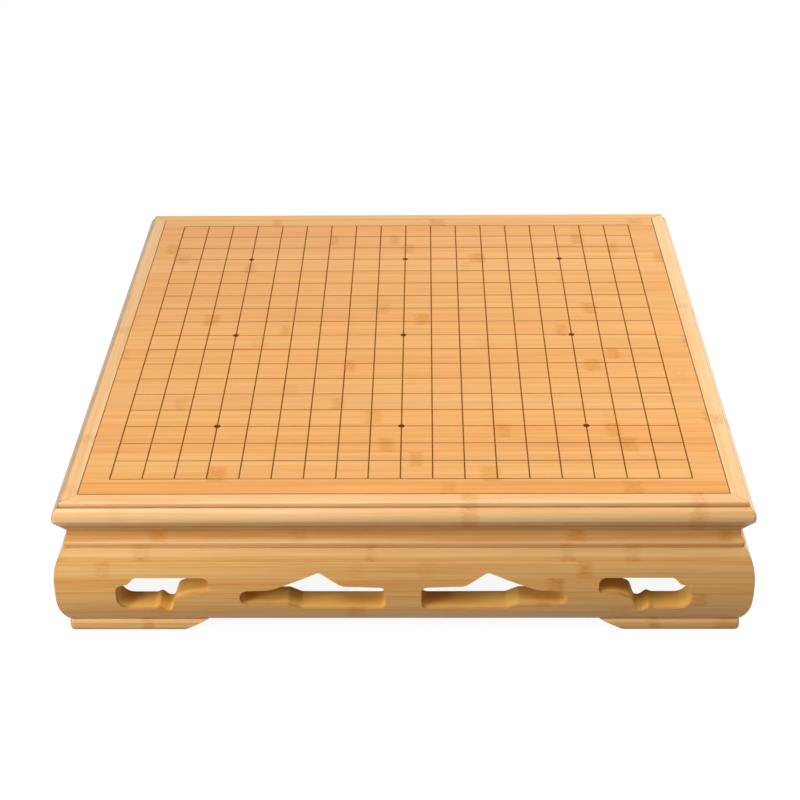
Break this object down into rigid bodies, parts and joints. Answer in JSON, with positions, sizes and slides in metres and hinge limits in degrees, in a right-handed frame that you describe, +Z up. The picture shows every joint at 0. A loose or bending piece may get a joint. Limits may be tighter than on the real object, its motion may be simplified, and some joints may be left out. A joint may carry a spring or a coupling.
{
  "type": "go table with stone drawers",
  "caption": "Low bamboo go table with an engraved grid, moulded frame, pierced bulged aprons, bracket feet and side drawers for the stones.",
  "frame": {"origin": "on the floor under the middle of the table", "axes": "+Z up, +Y from the front player to the back player (the longer way), +X to the right"},
  "size_m": [0.4924, 0.4974, 0.1042],
  "materials": {
    "panel_bamboo": "satin varnish",
    "frame_bamboo": "satin varnish",
    "carcass_bamboo": "satin varnish",
    "knob_bamboo": "satin varnish",
    "inner_wood": "bare",
    "runner_wood": "bare, waxed",
    "drawer_bottom_ply": "bare",
    "screw_steel": "zinc plated"
  },
  "bodies": {
    "root": {"apron_back": "carcass_bamboo", "apron_front": "carcass_bamboo", "apron_left": "carcass_bamboo", "apron_right": "carcass_bamboo", "batten_left": "inner_wood", "batten_right": "inner_wood", "batten_screws": "screw_steel", "corner_block_back_left": "inner_wood", "corner_block_back_right": "inner_wood", "corner_block_front_left": "inner_wood", "corner_block_front_right": "inner_wood", "drawer_divider": "inner_wood", "foot_back_left": "carcass_bamboo", "foot_back_right": "carcass_bamboo", "foot_front_left": "carcass_bamboo", "foot_front_right": "carcass_bamboo", "guide_rail_back": "inner_wood", "guide_rail_front": "inner_wood", "playing_board": "panel_bamboo", "runner_left_far": "runner_wood", "runner_left_near": "runner_wood", "runner_right_far": "runner_wood", "runner_right_near": "runner_wood", "stop_bar_left": "inner_wood", "stop_bar_right": "inner_wood", "top_frame_back": "frame_bamboo", "top_frame_front": "frame_bamboo", "top_frame_left": "frame_bamboo", "top_frame_right": "frame_bamboo", "waist_back": "carcass_bamboo", "waist_front": "carcass_bamboo", "waist_left": "carcass_bamboo", "waist_right": "carcass_bamboo"},
    "left_drawer": {"left_drawer_back": "inner_wood", "left_drawer_bottom": "drawer_bottom_ply", "left_drawer_box_front": "inner_wood", "left_drawer_far_side": "inner_wood", "left_drawer_front": "carcass_bamboo", "left_drawer_front_screws": "screw_steel", "left_drawer_knob": "knob_bamboo", "left_drawer_knob_screw": "screw_steel", "left_drawer_near_side": "inner_wood"},
    "right_drawer": {"right_drawer_back": "inner_wood", "right_drawer_bottom": "drawer_bottom_ply", "right_drawer_box_front": "inner_wood", "right_drawer_far_side": "inner_wood", "right_drawer_front": "carcass_bamboo", "right_drawer_front_screws": "screw_steel", "right_drawer_knob": "knob_bamboo", "right_drawer_knob_screw": "screw_steel", "right_drawer_near_side": "inner_wood"}
  },
  "joints": [
    {"name": "left_drawer_slide", "type": "slide", "parent": "root", "child": "left_drawer", "axis": [-1, 0, 0], "range_m": [0, 0.15]},
    {"name": "right_drawer_slide", "type": "slide", "parent": "root", "child": "right_drawer", "axis": [1, 0, 0], "range_m": [0, 0.15]}
  ]
}
